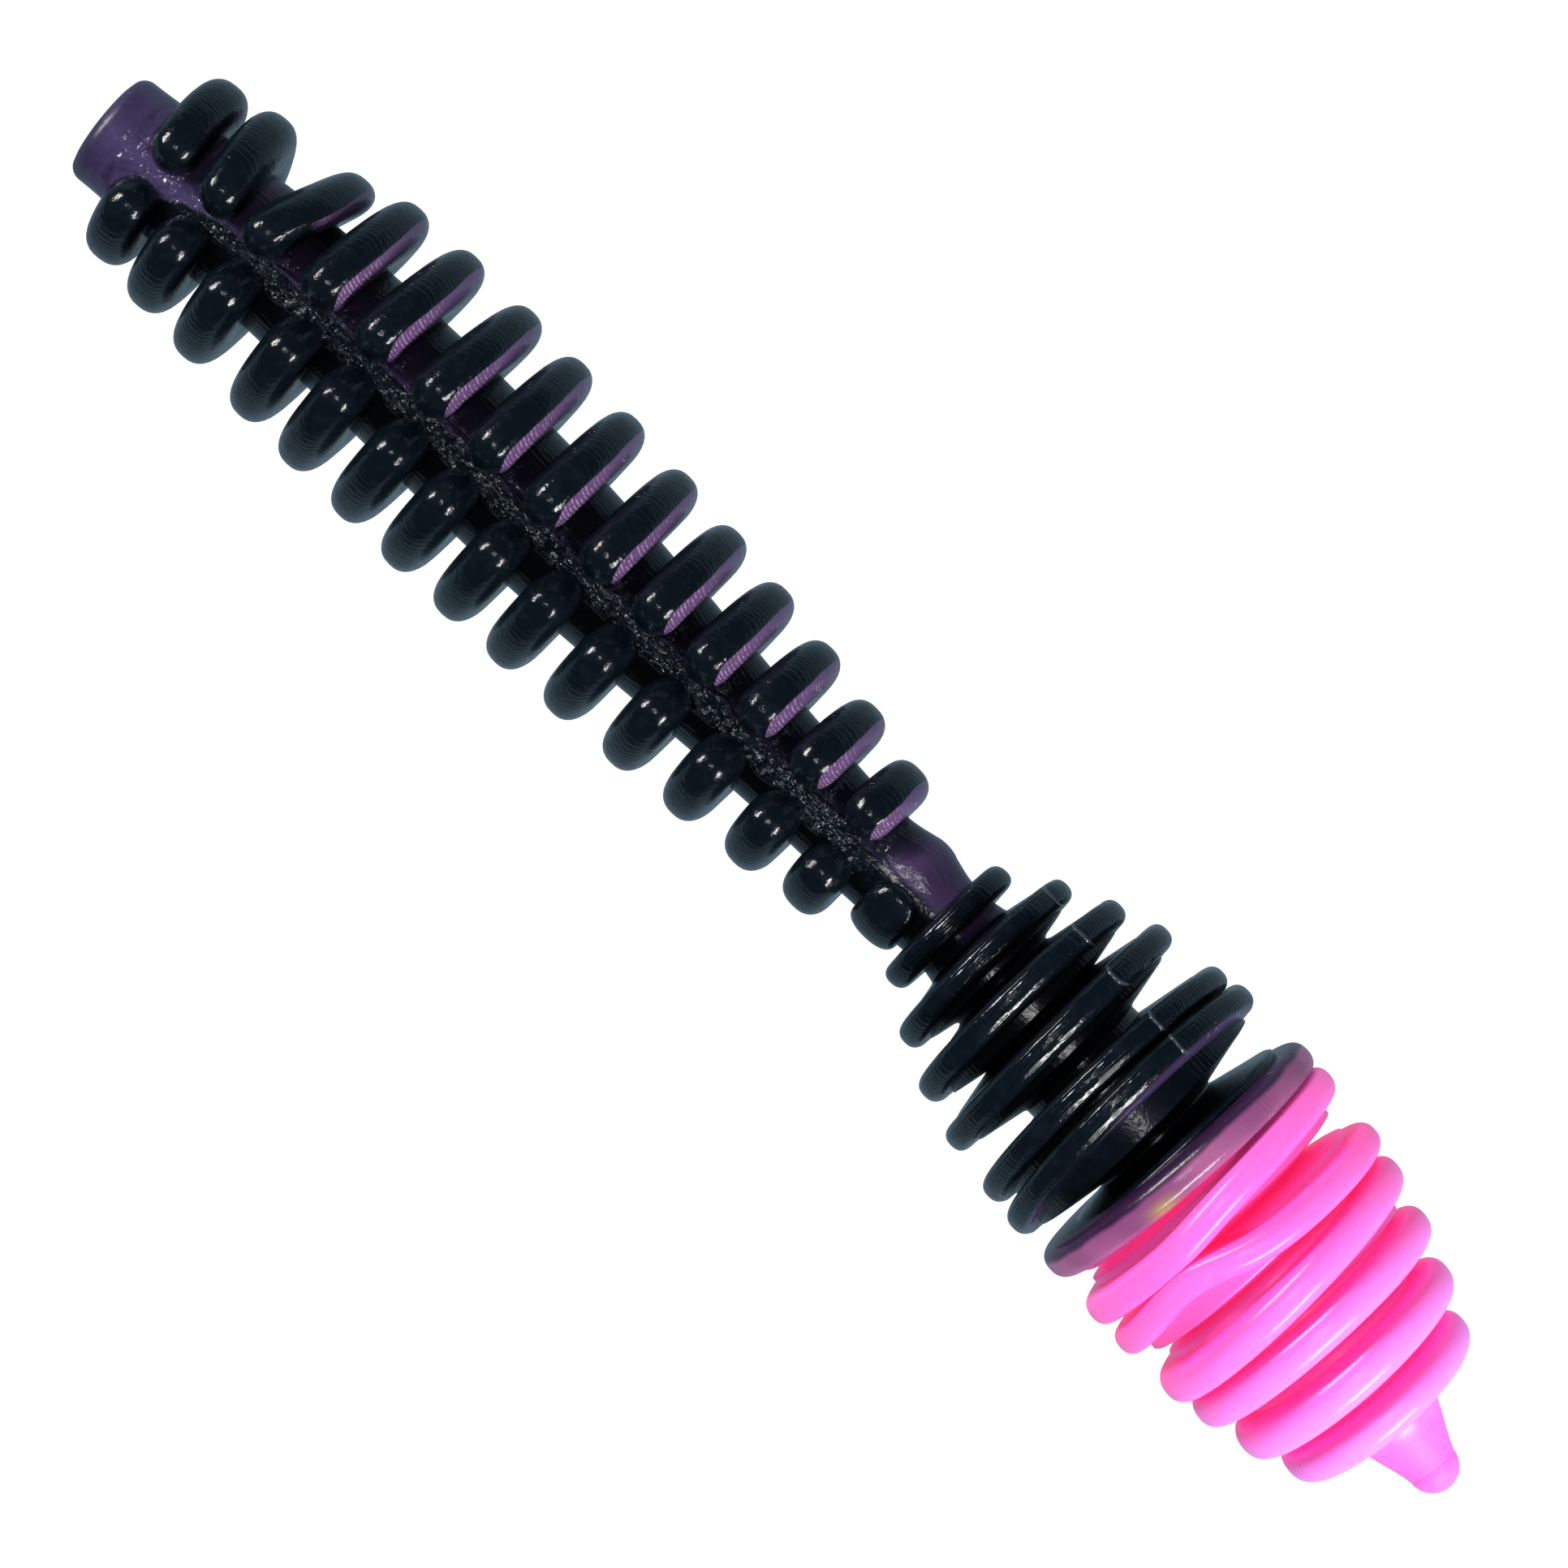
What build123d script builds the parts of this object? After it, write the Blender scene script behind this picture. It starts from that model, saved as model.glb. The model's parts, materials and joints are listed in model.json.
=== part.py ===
"""Soft plastic worm: a ribbed body, a thin neck and a ringed tail bulb, in lengths that hinge on each other.

The worm lies along +X from its nose face, which is centred on the origin, and +Z is up. The core is a chain of
short links. Each gap between two links is one hinge: side bends turn about the upright axis, lifts about the
cross axis, and the two kinds alternate. Ribs and discs sit on the links. Sizes are in millimetres.
"""

from build123d import *
import os
from math import atan, cos, radians, sin

# Ribbed body
RIB_COUNT = 14
RIB_PITCH = 2.5
FIRST_RIB_X = 2.6
RIB_HALF_WIDTH = 0.9
RIB_END_ANGLE = 25.0
RIB_PEAK_RADIUS = 4.78
RIB_PEAK_INDEX = 5.5
NOSE_RIB_DROP = 1.03
NECK_RIB_DROP = 1.62
NOSE_RIB_POWER = 2.0
NECK_RIB_POWER = 2.3

# Neck
BUMP_RADIUS = 2.06
BUMP_HALF_WIDTH = 1.05
BUMP_END_ANGLE = 38.0

# Tail bulb
BLACK_DISC_COUNT = 7
PINK_DISC_COUNT = 6
DISC_PITCH = 1.79
FIRST_DISC_X = 39.6
DISC_PEAK_RADIUS = 5.72
DISC_PEAK_INDEX = 8
FIRST_DISC_DROP = 3.0
LAST_DISC_DROP = 1.82
FIRST_DISC_POWER = 3.0
LAST_DISC_POWER = 2.2
BLACK_RIM_HALF = 0.52
PINK_RIM_HALF = 0.58
ROOT_FLARE = 0.06
DISCS_ON_BULB_LINKS = (2, 2, 2, 4, 3)

# Ribs and discs are drawn down to this radius, inside the core, then cut to the core's surface
RING_SEAT = 0.6

# Core
NOSE_FACE_RADIUS = 1.58
NOSE_ROUNDING = 0.45
CORE_RADIUS = 2.475
CORE_PEAK_X = 17.0
NOSE_CORE_DROP = 0.42
NECK_RADIUS = 1.71
BLACK_SPINDLE_RADIUS = 2.5
PINK_SPINDLE_RADIUS = 3.0
SPINDLE_END_RADIUS = 1.7
NECK_TAPER = (19.0, 37.0)
BLACK_SWELL = (40.0, 43.5)
PINK_SWELL = (50.0, 52.5)
SPINDLE_CLOSING = (59.0, 62.0)
PROFILE_STEP = 1.25

# Tail nub
NUB_X = 62.15
OVERALL_LENGTH = 65.0
NUB_BASE_RADIUS = 1.65
NUB_TIP_RADIUS = 0.9
NUB_SLOPE = 25.0

# Hinges between the links
LINK_GAP_HALF = 0.25
KNUCKLE_RADIUS = 0.95
KNUCKLE_CLEARANCE = 0.08
KNUCKLE_INSET = 0.2
NECK_END_LEAD = 0.8

# Pins and sockets start out this long, wider than any part of the core, and are then trimmed
ROUGH_LENGTH = 8.0

# Gentle set of the soft body as it lies: nose and tail curl to one side, and the ribs rest on the ground
NOSE_CURL = 0.96
NOSE_CURL_LENGTH = 15.0
TAIL_CURL = 1.2
TAIL_CURL_START = 48.0
BODY_SAG = 1.2
SAG_START = 24.0
SAG_END = 46.0


def smooth(u):
    """Ease from 0 to 1 as u goes from 0 to 1."""
    u = min(max(u, 0.0), 1.0)
    return u * u * (3 - 2 * u)


def eased(x, span):
    """Share of the way along a stretch of the body, eased at both ends."""
    return smooth((x - span[0]) / (span[1] - span[0]))


def rib_x(index):
    return FIRST_RIB_X + RIB_PITCH * (index - 1)


def rib_radius(index):
    """Outer radius of a rib: largest a third of the way back, and falling off towards both ends."""
    if index < RIB_PEAK_INDEX:
        away = (RIB_PEAK_INDEX - index) / (RIB_PEAK_INDEX - 1)
        return RIB_PEAK_RADIUS - NOSE_RIB_DROP * away**NOSE_RIB_POWER
    away = (index - RIB_PEAK_INDEX) / (RIB_COUNT - RIB_PEAK_INDEX)
    return RIB_PEAK_RADIUS - NECK_RIB_DROP * away**NECK_RIB_POWER


def disc_x(index):
    return FIRST_DISC_X + DISC_PITCH * (index - 1)


def disc_radius(index):
    """Outer radius of a disc: a teardrop that swells quickly, then closes towards the nub."""
    last = BLACK_DISC_COUNT + PINK_DISC_COUNT
    if index < DISC_PEAK_INDEX:
        away = (DISC_PEAK_INDEX - index) / (DISC_PEAK_INDEX - 1)
        return DISC_PEAK_RADIUS - FIRST_DISC_DROP * away**FIRST_DISC_POWER
    away = (index - DISC_PEAK_INDEX) / (last - DISC_PEAK_INDEX)
    return DISC_PEAK_RADIUS - LAST_DISC_DROP * away**LAST_DISC_POWER


def core_radius(x):
    """Radius of the core: fullest under the front ribs, thin at the neck, and stout inside the bulb."""
    ahead = max(CORE_PEAK_X - x, 0.0) / CORE_PEAK_X
    radius = CORE_RADIUS - NOSE_CORE_DROP * ahead**2
    radius -= (CORE_RADIUS - NECK_RADIUS) * eased(x, NECK_TAPER)
    radius += (BLACK_SPINDLE_RADIUS - NECK_RADIUS) * eased(x, BLACK_SWELL)
    radius += (PINK_SPINDLE_RADIUS - BLACK_SPINDLE_RADIUS) * eased(x, PINK_SWELL)
    radius -= (PINK_SPINDLE_RADIUS - SPINDLE_END_RADIUS) * eased(x, SPINDLE_CLOSING)
    return radius


def link_stations():
    """Places along the body where one link ends and the next begins, from the nose face to the nub's tip."""
    stations = [0.0]
    stations += [rib_x(i) + RIB_PITCH / 2 for i in range(1, RIB_COUNT + 1)]
    stations.append(FIRST_DISC_X - NECK_END_LEAD)
    done = 0
    for count in DISCS_ON_BULB_LINKS[:-1]:
        done += count
        stations.append(disc_x(done) + DISC_PITCH / 2)
    return stations + [NUB_X, OVERALL_LENGTH]


STATIONS = link_stations()
LINK_COUNT = len(STATIONS) - 1


def hinge_kind(number):
    """Hinge number n joins link n - 1 to link n: odd ones bend sideways, even ones lift."""
    return "side" if number % 2 else "lift"


def heading(x):
    """Unit direction of the centreline at x, from the sideways curl and the sag."""
    sideways = 2 * NOSE_CURL / NOSE_CURL_LENGTH * max(1 - x / NOSE_CURL_LENGTH, 0.0)
    tail_run = OVERALL_LENGTH - TAIL_CURL_START
    sideways -= 2 * TAIL_CURL / tail_run * max(x - TAIL_CURL_START, 0.0) / tail_run
    u = min(max((x - SAG_START) / (SAG_END - SAG_START), 0.0), 1.0)
    rise = BODY_SAG * 6 * u * (1 - u) / (SAG_END - SAG_START)
    yaw, pitch = atan(sideways), atan(rise)
    return Vector(cos(pitch) * cos(yaw), cos(pitch) * sin(yaw), sin(pitch))


def link_planes():
    """Each link's own frame: its origin is the front hinge, its x runs back along the link, and its z is up."""
    planes, point = [], Vector(0, 0, 0)
    for start, end in zip(STATIONS, STATIONS[1:]):
        along = heading((start + end) / 2)
        across = Vector(0, 0, 1).cross(along).normalized()
        planes.append(Plane(origin=point, x_dir=along, z_dir=along.cross(across)))
        point = point + along * (end - start)
    return planes


PLANES = link_planes()


def placed(shape, link):
    """Move a shape from the straight layout into its link's frame."""
    return PLANES[link].location * (Pos(-STATIONS[link], 0, 0) * shape)


def turned(edges):
    """Solid of revolution about X from the edges of half of its lengthwise section."""
    return revolve(make_face(edges), Axis.X, 360)


def core_profile(start, end):
    steps = max(2, round((end - start) / PROFILE_STEP) + 1)
    xs = [start + (end - start) * i / (steps - 1) for i in range(steps)]
    return [(x, core_radius(x)) for x in xs]


def plain_core(start, end):
    line = core_profile(start, end)
    return turned(Polyline((start, 0), *line, (end, 0), close=True))


def nose_core(end):
    """Front link: a flat cut face with a rounded corner."""
    shoulder = core_radius(NOSE_ROUNDING)
    halfway = radians(45)
    rise = (shoulder - NOSE_FACE_RADIUS) * sin(halfway)
    middle = (NOSE_ROUNDING * (1 - cos(halfway)), NOSE_FACE_RADIUS + rise)
    face = Line((0, 0), (0, NOSE_FACE_RADIUS))
    corner = ThreePointArc((0, NOSE_FACE_RADIUS), middle, (NOSE_ROUNDING, shoulder))
    side = Polyline(*core_profile(NOSE_ROUNDING, end), (end, 0), (0, 0))
    return turned(face.edges() + corner.edges() + side.edges())


def nub_core(start):
    """Last link: a short cone with a round tip."""
    centre = OVERALL_LENGTH - NUB_TIP_RADIUS
    slope = radians(NUB_SLOPE)
    halfway = (slope + radians(90)) / 2
    touch = (centre + NUB_TIP_RADIUS * sin(slope), NUB_TIP_RADIUS * cos(slope))
    middle = (centre + NUB_TIP_RADIUS * sin(halfway), NUB_TIP_RADIUS * cos(halfway))
    side = Polyline((OVERALL_LENGTH, 0), (start, 0), (start, NUB_BASE_RADIUS), touch)
    tip = ThreePointArc(touch, middle, (OVERALL_LENGTH, 0))
    return turned(side.edges() + tip.edges())


def upright(kind):
    """Turn that lays a Z cylinder along the hinge's axis."""
    return Rot(0, 0, 0) if kind == "side" else Rot(90, 0, 0)


def knuckle(number):
    """Rounded tongue on the link ahead of a hinge, kept just inside the core's surface."""
    x = STATIONS[number]
    reach = KNUCKLE_RADIUS + LINK_GAP_HALF
    pin = upright(hinge_kind(number)) * Cylinder(KNUCKLE_RADIUS, ROUGH_LENGTH)
    tongue = upright(hinge_kind(number)) * (Pos(-reach / 2, 0, 0) * Box(reach, 2 * KNUCKLE_RADIUS, ROUGH_LENGTH))
    skin = min(core_radius(x - KNUCKLE_RADIUS), core_radius(x + KNUCKLE_RADIUS), core_radius(x))
    limit = Rot(0, 90, 0) * Cylinder(skin - KNUCKLE_INSET, ROUGH_LENGTH)
    return Pos(x, 0, 0) * ((pin + tongue) & limit)


def socket(number):
    """Space that a knuckle turns in, cut from the link behind its hinge."""
    hole = Cylinder(KNUCKLE_RADIUS + KNUCKLE_CLEARANCE, ROUGH_LENGTH)
    return Pos(STATIONS[number], 0, 0) * (upright(hinge_kind(number)) * hole)


def core_blank(link):
    """One length of core before its hinge ends are shaped, which the ribs and discs seat on."""
    start, end = STATIONS[link] + LINK_GAP_HALF, STATIONS[link + 1] - LINK_GAP_HALF
    if link == 0:
        return placed(nose_core(end), link)
    if link == LINK_COUNT - 1:
        return placed(nub_core(start), link)
    return placed(plain_core(start, end), link)


def core_link(link, blank):
    """The same length with the knuckle of the hinge behind it and the socket of the one ahead."""
    solid = blank
    if link < LINK_COUNT - 1:
        solid = solid + placed(knuckle(link + 1), link)
    if link > 0:
        solid = solid - placed(socket(link), link - 1)
    return solid


def half_ring(x, outer, half_width, end_angle, side):
    """C-shaped rib on one side of the core: a round-crested band with round ends, open to the core."""
    inner = min(RING_SEAT, outer - half_width)
    crest = outer - half_width
    wall_a = Line((x - half_width, inner), (x - half_width, crest))
    top = ThreePointArc((x - half_width, crest), (x, outer), (x + half_width, crest))
    wall_b = Polyline((x + half_width, crest), (x + half_width, inner), (x - half_width, inner))
    section = make_face(wall_a.edges() + top.edges() + wall_b.edges())
    sweep = 180 - 2 * end_angle
    ring = Rot(-sweep / 2, 0, 0) * revolve(section, Axis.X, sweep)
    stalk = Pos(x, (inner + crest) / 2, 0) * Rot(90, 0, 0) * Cylinder(half_width, crest - inner)
    end = stalk + Pos(x, crest, 0) * Sphere(half_width)
    ring = ring + Rot(sweep / 2, 0, 0) * end + Rot(-sweep / 2, 0, 0) * end
    return ring if side > 0 else mirror(ring, Plane.XZ)


def seated(shape, link, blank):
    """Place a ring or disc on its link and cut its seat to the core's surface."""
    return (placed(shape, link) - blank).solids().sort_by(SortBy.VOLUME)[-1]


def rib_pair(index, blank):
    solids = []
    for side in (1, -1):
        ring = half_ring(rib_x(index), rib_radius(index), RIB_HALF_WIDTH, RIB_END_ANGLE, side)
        solids.append(seated(ring, index - 1, blank))
    return solids


def neck_bump(side, blank):
    ring = half_ring(rib_x(RIB_COUNT + 1), BUMP_RADIUS, BUMP_HALF_WIDTH, BUMP_END_ANGLE, side)
    return seated(ring, RIB_COUNT, blank)


def disc(index, link, blank):
    """Round fin with a round rim and a web that flares slightly to its root."""
    x, outer = disc_x(index), disc_radius(index)
    half = BLACK_RIM_HALF if index <= BLACK_DISC_COUNT else PINK_RIM_HALF
    root, inner = half + ROOT_FLARE, RING_SEAT
    wall_a = Line((x - root, inner), (x - half, outer - half))
    rim = ThreePointArc((x - half, outer - half), (x, outer), (x + half, outer - half))
    wall_b = Polyline((x + half, outer - half), (x + root, inner), (x - root, inner))
    return seated(turned(wall_a.edges() + rim.edges() + wall_b.edges()), link, blank)


def link_name(link):
    """Plain name of the core length on a link."""
    bulb = ["front", "middle", "rear", "joint", "pink"]
    if link == 0:
        return "nose_stub"
    if link < RIB_COUNT:
        return f"core_{link + 1:02d}"
    if link == RIB_COUNT:
        return "neck"
    if link == LINK_COUNT - 1:
        return "tail_nub"
    return "bulb_spindle_" + bulb[link - RIB_COUNT - 1]


def disc_name(index):
    if index <= BLACK_DISC_COUNT:
        return f"black_disc_{index:02d}"
    return f"pink_disc_{index - BLACK_DISC_COUNT:02d}"


def discs_on(link):
    """Indices of the discs that a bulb link carries."""
    place = link - RIB_COUNT - 1
    first = 1 + sum(DISCS_ON_BULB_LINKS[:place])
    return range(first, first + DISCS_ON_BULB_LINKS[place])


def nodes_on(link):
    """All the solids of one link, by node name."""
    blank = core_blank(link)
    nodes = {link_name(link): [core_link(link, blank).solid()]}
    if link < RIB_COUNT:
        nodes[f"rib_pair_{link + 1:02d}"] = rib_pair(link + 1, blank)
    elif link == RIB_COUNT:
        nodes["neck_bump_left"] = [neck_bump(1, blank)]
        nodes["neck_bump_right"] = [neck_bump(-1, blank)]
    elif link < LINK_COUNT - 1:
        for index in discs_on(link):
            nodes[disc_name(index)] = [disc(index, link, blank)]
    return nodes


def main():
    os.makedirs("parts", exist_ok=True)
    for link in range(LINK_COUNT):
        for name, solids in nodes_on(link).items():
            export_step(Compound(children=solids, label=name), f"parts/{name}.step")


if __name__ == "__main__":
    main()
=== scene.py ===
"""Soft plastic worm: a black and purple ribbed body, a thin neck, and a ringed bulb with a hot pink end.

Each piece is modelled along a straight line, in millimetres from the nose face, and then set on the links of
the frame, which carry the worm's sag and its sideways curl. A piece keeps its straight place in the attribute
"lay", so that colours and mould marks follow the body as it bends.
"""

import json
import math

import bpy
from mathutils import Matrix, Vector, noise

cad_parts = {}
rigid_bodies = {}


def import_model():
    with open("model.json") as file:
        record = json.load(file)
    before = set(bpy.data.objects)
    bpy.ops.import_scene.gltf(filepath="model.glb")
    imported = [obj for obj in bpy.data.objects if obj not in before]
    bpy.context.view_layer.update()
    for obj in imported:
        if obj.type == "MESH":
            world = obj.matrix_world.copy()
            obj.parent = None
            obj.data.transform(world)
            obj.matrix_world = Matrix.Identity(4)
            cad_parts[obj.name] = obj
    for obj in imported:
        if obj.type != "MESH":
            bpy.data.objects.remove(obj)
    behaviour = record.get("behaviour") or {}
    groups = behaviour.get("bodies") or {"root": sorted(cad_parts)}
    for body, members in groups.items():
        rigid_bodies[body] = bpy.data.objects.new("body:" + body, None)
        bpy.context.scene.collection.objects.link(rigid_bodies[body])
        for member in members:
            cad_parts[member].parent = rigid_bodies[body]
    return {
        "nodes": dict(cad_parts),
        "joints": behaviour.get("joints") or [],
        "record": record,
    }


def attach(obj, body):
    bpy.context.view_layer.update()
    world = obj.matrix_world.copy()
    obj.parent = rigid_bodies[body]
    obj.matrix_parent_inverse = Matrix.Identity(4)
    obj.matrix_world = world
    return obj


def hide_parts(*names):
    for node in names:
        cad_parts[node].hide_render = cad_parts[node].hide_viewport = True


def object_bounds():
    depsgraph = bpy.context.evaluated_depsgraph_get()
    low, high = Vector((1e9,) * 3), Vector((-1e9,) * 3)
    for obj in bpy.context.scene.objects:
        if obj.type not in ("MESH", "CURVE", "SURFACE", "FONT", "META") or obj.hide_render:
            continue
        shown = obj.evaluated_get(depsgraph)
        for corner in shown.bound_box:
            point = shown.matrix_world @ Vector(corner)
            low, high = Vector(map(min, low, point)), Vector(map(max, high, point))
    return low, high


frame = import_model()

cad_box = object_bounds()

MM = 0.001
TAU = 2 * math.pi

# Ribs and discs of the moulding
RIB_COUNT = 14
BLACK_DISCS = 7
PINK_DISCS = 6
RIB_CREST_POWER = 2.5
RIB_END_OFFSET = 1.32
RIB_HALF_WIDTH = 0.89
RIM_POWER = 2.4
FLANK_DRAFT = 0.2
RIB_SUNK = 0.45
RIB_DRAG = 0.22
DISC_BORE = 1.2

# Half the width of each disc's rim, in millimetres. These and the tables below are measured values: they follow
# no rule, and are not worked out from the frame.
RIM_HALVES = {
    1: 0.48, 2: 0.47, 3: 0.5, 4: 0.49, 5: 0.46, 6: 0.5, 7: 0.6,
    8: 0.58, 9: 0.56, 10: 0.66, 11: 0.67, 12: 0.74, 13: 0.72,
}

# How the soft ribs and discs have settled off their even spacing, in millimetres. A left rib gives its inner
# and outer end, and a disc gives its shift, the lean of its left edge and the lean of its top.
LEFT_RIBS_SET = {
    1: (0.2, 0.1), 2: (-0.12, -0.5), 3: (-0.63, 0.34), 4: (-0.49, -0.21),
    5: (-0.52, -0.3), 6: (-0.37, -0.17), 7: (-0.25, -0.23), 8: (-0.15, -0.15),
}
RIGHT_RIBS_SET = {
    1: 0.06, 2: -0.25, 3: -0.37, 4: -0.04, 5: -0.12, 6: -0.03, 7: -0.16,
    8: -0.22, 9: -0.3, 10: -0.2, 11: -0.05, 12: 0.12, 13: 0.3, 14: 0.24,
}
SHORT_LEFT_RIBS = {2: 0.95, 3: 0.93}
DISCS_SET = {
    1: (-0.03, 0, 0), 2: (-0.04, 0, -0.18), 3: (-0.05, 0, -0.44), 4: (-0.11, -0.05, -0.27),
    5: (0.37, 0.03, -0.85), 6: (-0.21, -0.13, -0.93), 7: (0.26, 0.23, 0.05), 8: (0.1, -0.3, 0),
    9: (0.24, 0.2, 0), 10: (0.2, -0.2, 0.2), 11: (0.04, -0.18, 0.14), 12: (0.02, -0.12, 0.34),
    13: (-0.13, -0.04, 0.45),
}

# At rest the core curves from one link to the next over this much, each side of their hinge
BEND_HALF = 0.42

# Each link's skin runs on past its hinges and dips under its neighbour's skin, so that no bend opens a gap
TUCK_LENGTH = 0.45
TUCK_DIP = 0.25
RING_STEP = 0.065


def smooth(u):
    u = min(max(u, 0.0), 1.0)
    return u * u * (3 - 2 * u)


def bell(x, centre, width):
    return math.exp(-(((x - centre) / width) ** 2))


# ---------------------------------------------------------------- the frame, read back as a straight layout

JOINTS = frame["joints"]
BODIES = [JOINTS[0]["parent"]] + [joint["child"] for joint in JOINTS]
LAST = len(BODIES) - 1


def body_number(node):
    groups = frame["record"]["behaviour"]["bodies"]
    return next(i for i, body in enumerate(BODIES) if node in groups[body])


def hinge_points():
    """The nose face, every hinge in order, and the tip of the nub."""
    points = [Vector(frame["record"]["mounts"][0]["pos_m"])]
    points += [Vector(joint["pos_m"]) for joint in JOINTS]
    nub = [v.co for v in frame["nodes"]["tail_nub"].data.vertices]
    return points + [max(nub, key=lambda co: (co - points[-1]).length).copy()]


HINGES = hinge_points()
RUN = [0.0]
for before, after in zip(HINGES, HINGES[1:]):
    RUN.append(RUN[-1] + (after - before).length / MM)


def link_matrix(link):
    """From the straight layout in millimetres to the link's place in the frame in metres."""
    along = (HINGES[link + 1] - HINGES[link]).normalized()
    across = Vector((0, 0, 1)).cross(along).normalized()
    turn = Matrix((along, across, along.cross(across))).transposed().to_4x4()
    place = Matrix.Translation(HINGES[link]) @ turn @ Matrix.Scale(MM, 4)
    return place @ Matrix.Translation((-RUN[link], 0, 0))


LINKS = [link_matrix(link) for link in range(LAST + 1)]


def drift(s):
    """How far the bulb sits to the left of its links, in millimetres. Its tail end sits a little to the right."""
    return 0.16 * smooth((s - 37.5) / 3) - 0.28 * smooth((s - 50) / 10)


def on_link(link, point):
    return LINKS[link] @ (Vector(point) + Vector((0, drift(point[0]), 0)))


def on_body(point):
    """Place a point of the core, easing from one link to the next across their hinge."""
    s = point[0]
    for link in range(LAST):
        if s < RUN[link + 1] + BEND_HALF:
            share = smooth((s - RUN[link + 1] + BEND_HALF) / (2 * BEND_HALF))
            return on_link(link, point).lerp(on_link(link + 1, point), share)
    return on_link(LAST, point)


def node_extent(node):
    """A CAD node's middle along the body, and its seat and outer radius, in millimetres."""
    back = LINKS[body_number(node)].inverted()
    local = [back @ v.co for v in frame["nodes"][node].data.vertices]
    xs = [p.x for p in local]
    radii = [math.hypot(p.y, p.z) for p in local]
    return (min(xs) + max(xs)) / 2, min(radii), max(radii)


def rib_node(index):
    return f"rib_pair_{index:02d}"


def disc_node(index):
    return f"black_disc_{index:02d}" if index <= BLACK_DISCS else f"pink_disc_{index - BLACK_DISCS:02d}"


def settled_disc(index):
    x, seat, outer = node_extent(disc_node(index))
    return x + DISCS_SET[index][0], seat, outer


RIBS = {i: node_extent(rib_node(i)) for i in range(1, RIB_COUNT + 1)}
BUMP = node_extent("neck_bump_left")
DISCS = {i: settled_disc(i) for i in range(1, BLACK_DISCS + PINK_DISCS + 1)}
NECK_THINNING = 0.94


def nose_sizes():
    """Radius of the flat nose face, and of the stub just behind its rounded corner."""
    back = LINKS[0].inverted()
    local = [back @ v.co for v in frame["nodes"]["nose_stub"].data.vertices]
    face = max(math.hypot(p.y, p.z) for p in local if p.x < 0.005)
    stub = max(math.hypot(p.y, p.z) for p in local if p.x < 0.6)
    return face, stub


NOSE_FACE, NOSE_STUB = nose_sizes()
NOSE_ROUNDING = 0.5
NUB_START = DISCS[BLACK_DISCS + PINK_DISCS][0] + 1.0
NUB_BASE = 1.68
NUB_TIP = 0.92


def core_stations():
    """Core radius where each rib, bump and disc sits on it."""
    stations = [(NOSE_ROUNDING, NOSE_STUB)]
    stations += [(x, seat) for x, seat, _ in RIBS.values()]
    stations.append((BUMP[0], BUMP[1] * NECK_THINNING))
    stations += [(x, seat * (NECK_THINNING if i == 1 else 1)) for i, (x, seat, _) in DISCS.items()]
    return stations


STATIONS = core_stations()


def plain_radius(s):
    """Radius of the bare core at s, on a smooth curve through the stations."""
    if s <= STATIONS[0][0]:
        return STATIONS[0][1]
    for (x0, r0), (x1, r1) in zip(STATIONS, STATIONS[1:]):
        if s <= x1:
            return r0 + (r1 - r0) * smooth((s - x0) / (x1 - x0))
    return STATIONS[-1][1]


def flank_radius(s):
    """Height of the nearest disc's sloping flank at s, which the core's skin carries up from the groove."""
    height = 0.0
    for index, (x, _, outer) in DISCS.items():
        half = RIM_HALVES[index]
        away = abs(s - x)
        if away < 1.3 and index > 1:
            height = max(height, outer - half - (max(away, half + 0.06) - half) / FLANK_DRAFT)
    return height


def skin_radius(s):
    """Radius of the outer skin of the core, from the rounded nose to the round tip of the nub."""
    if s < NOSE_ROUNDING:
        u = 1 - s / NOSE_ROUNDING
        return NOSE_FACE + (NOSE_STUB - NOSE_FACE) * math.sqrt(max(1 - u * u, 0.0))
    tip_centre = RUN[-1] - NUB_TIP
    if s > tip_centre:
        return math.sqrt(max(NUB_TIP**2 - (s - tip_centre) ** 2, 0.0004))
    if s >= NUB_START:
        u = (s - NUB_START) / (tip_centre - NUB_START)
        return NUB_BASE + (NUB_TIP - NUB_BASE) * (0.75 * u + 0.25 * smooth(u))
    radius = plain_radius(s)
    flank = flank_radius(s)
    return max(radius, flank)


# ---------------------------------------------------------------- modelling helpers


def deselect():
    if bpy.context.object and bpy.context.object.mode != "OBJECT":
        bpy.ops.object.mode_set(mode="OBJECT")
    bpy.ops.object.select_all(action="DESELECT")


def new_piece(name):
    """Name the primitive that was just added."""
    piece = bpy.context.object
    piece.name = piece.data.name = name
    return piece


def shape(piece, move):
    """Move every vertex of a piece by a rule on its straight place, in millimetres."""
    for vertex in piece.data.vertices:
        vertex.co = move(vertex.co.copy())


def edit(piece, mode="VERT"):
    bpy.context.view_layer.objects.active = piece
    piece.select_set(True)
    bpy.ops.object.mode_set(mode="EDIT")
    bpy.ops.mesh.select_mode(type=mode)


def pick(piece, rule, kind="vertices"):
    """In edit mode, select only the vertices, edges or faces for which the rule holds."""
    bpy.ops.mesh.select_all(action="DESELECT")
    bpy.ops.object.mode_set(mode="OBJECT")
    for item in getattr(piece.data, kind):
        item.select = bool(rule(item))
    bpy.ops.object.mode_set(mode="EDIT")


def close_up(distance):
    """In edit mode, merge doubles and face everything outwards, then leave edit mode."""
    bpy.ops.mesh.select_all(action="SELECT")
    bpy.ops.mesh.remove_doubles(threshold=distance)
    bpy.ops.mesh.normals_make_consistent(inside=False)
    bpy.ops.object.mode_set(mode="OBJECT")


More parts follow.
